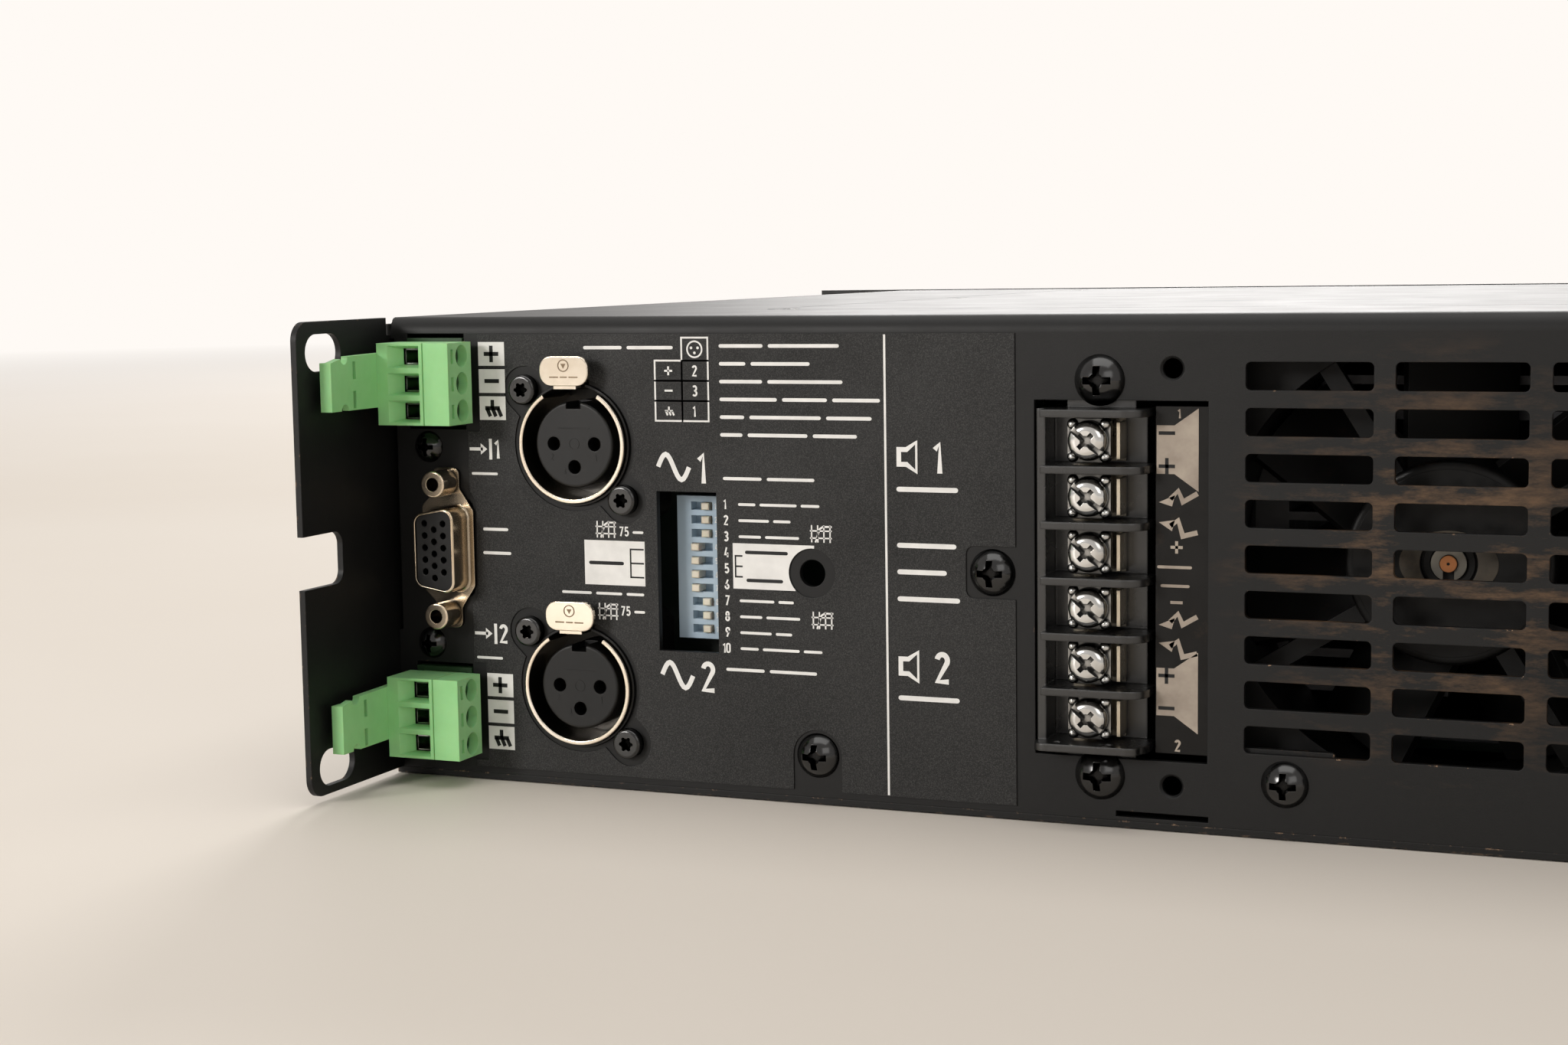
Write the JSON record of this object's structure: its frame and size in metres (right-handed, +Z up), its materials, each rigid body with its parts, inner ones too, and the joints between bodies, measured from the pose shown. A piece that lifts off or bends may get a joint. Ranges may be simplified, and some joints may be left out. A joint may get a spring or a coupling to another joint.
{
  "type": "power amplifier",
  "caption": "Two-channel rack-mount audio power amplifier with balanced and pluggable screw-terminal inputs, mode switches, a barrier-strip output and a rear fan grille.",
  "frame": {"origin": "centre of the four front rack slots, on the back face of the faceplate", "axes": "-Y out of the front, +Y out of the rear panel, +X to the right seen from the front, +Z up"},
  "size_m": [0.4826, 0.3397, 0.0883],
  "materials": {
    "case_black": "black powder coat with a fine orange-peel texture",
    "face_black": "satin black powder-coated aluminium",
    "overlay_graphite": "sand-textured graphite film with white print",
    "legend_film": "black film with pale grey print",
    "screw_black": "glossy black-oxide steel",
    "screw_nickel": "nickel-plated steel, handled",
    "nickel_shell": "nickel plate with a warm tint",
    "chrome_ring": "bright nickel",
    "terminal_brass": "nickel-plated brass with bare edges",
    "black_moulding": "black glass-filled nylon",
    "green_moulding": "green polyamide",
    "switch_blue": "light blue moulding with black digits",
    "actuator_cream": "cream moulding",
    "fan_plastic": "black PBT with dust",
    "board_green": "solder-masked glass epoxy",
    "sink_aluminium": "mill-finish extrusion",
    "device_epoxy": "black epoxy with tinned leads",
    "winding_tape": "amber polyester tape over copper and steel core",
    "capacitor_sleeve": "dark blue heat-shrunk sleeve",
    "lead_insulation": "flexible PVC insulation",
    "spacer_steel": "zinc-plated steel",
    "contact_gold": "gold flash over brass",
    "lens_clear": "diffused clear lens",
    "knob_black": "soft satin black",
    "rocker_black": "polished black moulding"
  },
  "bodies": {
    "chassis": {"amp_board": "board_green", "barrier_block": "black_moulding", "barrier_screws": "screw_nickel", "barrier_terminals": "terminal_brass", "board_standoffs": "spacer_steel", "chassis_screws": "screw_black", "chassis_tray": "case_black", "control_board": "board_green", "cover_screws": "screw_black", "data_insert": "black_moulding", "data_jackscrews": "nickel_shell", "data_shell": "nickel_shell", "dip_body": "switch_blue", "fan_frame": "fan_plastic", "front_panel": "face_black", "gain_pots": "spacer_steel", "heat_sink": "sink_aluminium", "input_board": "board_green", "input_overlay": "overlay_graphite", "led_lenses": "lens_clear", "mains_inlet": "black_moulding", "output_legend_card": "legend_film", "output_transistors": "device_epoxy", "power_switch_housing": "black_moulding", "rear_top_shell": "case_black", "reservoir_capacitors": "capacitor_sleeve", "terminal_header_1": "green_moulding", "terminal_header_2": "green_moulding", "top_cover": "case_black", "transformer": "winding_tape", "wiring": "lead_insulation", "xlr_contacts": "contact_gold", "xlr_housing_1": "black_moulding", "xlr_housing_2": "black_moulding", "xlr_ring_1": "chrome_ring", "xlr_ring_2": "chrome_ring", "xlr_screws": "screw_black"},
    "gain_1": {"gain_knob_1": "knob_black", "gain_shaft_1": "spacer_steel"},
    "latch_1": {"xlr_latch_1": "chrome_ring"},
    "plug_1": {"terminal_plug_1": "green_moulding", "plug_clamps_1": "screw_nickel"},
    "gain_2": {"gain_knob_2": "knob_black", "gain_shaft_2": "spacer_steel"},
    "latch_2": {"xlr_latch_2": "chrome_ring"},
    "plug_2": {"terminal_plug_2": "green_moulding", "plug_clamps_2": "screw_nickel"},
    "rocker": {"power_rocker": "rocker_black"},
    "fan": {"fan_rotor": "fan_plastic", "fan_clip": "screw_black"},
    "dip_01": {"dip_slider_01": "actuator_cream"},
    "dip_02": {"dip_slider_02": "actuator_cream"},
    "dip_03": {"dip_slider_03": "actuator_cream"},
    "dip_04": {"dip_slider_04": "actuator_cream"},
    "dip_05": {"dip_slider_05": "actuator_cream"},
    "dip_06": {"dip_slider_06": "actuator_cream"},
    "dip_07": {"dip_slider_07": "actuator_cream"},
    "dip_08": {"dip_slider_08": "actuator_cream"},
    "dip_09": {"dip_slider_09": "actuator_cream"},
    "dip_10": {"dip_slider_10": "actuator_cream"}
  },
  "joints": [
    {"name": "fan_spin", "type": "hinge", "parent": "chassis", "child": "fan", "pos_m": [0.0189, 0.282, 0.0023], "axis": [0, 1, 0], "continuous": true},
    {"name": "gain_1_turn", "type": "hinge", "parent": "chassis", "child": "gain_1", "pos_m": [0.062, 0, -0.014], "axis": [0, -1, 0], "range_deg": [-140, 140]},
    {"name": "gain_2_turn", "type": "hinge", "parent": "chassis", "child": "gain_2", "pos_m": [0.112, 0, -0.014], "axis": [0, -1, 0], "range_deg": [-140, 140]},
    {"name": "power_rock", "type": "hinge", "parent": "chassis", "child": "rocker", "pos_m": [0.18, 0.0003, -0.01], "axis": [1, 0, 0], "range_deg": [-20, 0]},
    {"name": "latch_1_press", "type": "slide", "parent": "chassis", "child": "latch_1", "axis": [0, -1, 0], "range_m": [0, 0.0016]},
    {"name": "plug_1_pull", "type": "slide", "parent": "chassis", "child": "plug_1", "axis": [0, 1, 0], "range_m": [0, 0.009]},
    {"name": "latch_2_press", "type": "slide", "parent": "chassis", "child": "latch_2", "axis": [0, -1, 0], "range_m": [0, 0.0016]},
    {"name": "plug_2_pull", "type": "slide", "parent": "chassis", "child": "plug_2", "axis": [0, 1, 0], "range_m": [0, 0.009]},
    {"name": "dip_01_slide", "type": "slide", "parent": "chassis", "child": "dip_01", "axis": [-1, 0, 0], "range_m": [-0.0022, 0]},
    {"name": "dip_02_slide", "type": "slide", "parent": "chassis", "child": "dip_02", "axis": [-1, 0, 0], "range_m": [-0.0022, 0]},
    {"name": "dip_03_slide", "type": "slide", "parent": "chassis", "child": "dip_03", "axis": [-1, 0, 0], "range_m": [-0.0022, 0]},
    {"name": "dip_04_slide", "type": "slide", "parent": "chassis", "child": "dip_04", "axis": [-1, 0, 0], "range_m": [0, 0.0022]},
    {"name": "dip_05_slide", "type": "slide", "parent": "chassis", "child": "dip_05", "axis": [-1, 0, 0], "range_m": [0, 0.0022]},
    {"name": "dip_06_slide", "type": "slide", "parent": "chassis", "child": "dip_06", "axis": [-1, 0, 0], "range_m": [0, 0.0022]},
    {"name": "dip_07_slide", "type": "slide", "parent": "chassis", "child": "dip_07", "axis": [-1, 0, 0], "range_m": [0, 0.0022]},
    {"name": "dip_08_slide", "type": "slide", "parent": "chassis", "child": "dip_08", "axis": [-1, 0, 0], "range_m": [-0.0022, 0]},
    {"name": "dip_09_slide", "type": "slide", "parent": "chassis", "child": "dip_09", "axis": [-1, 0, 0], "range_m": [-0.0022, 0]},
    {"name": "dip_10_slide", "type": "slide", "parent": "chassis", "child": "dip_10", "axis": [-1, 0, 0], "range_m": [-0.0022, 0]}
  ]
}
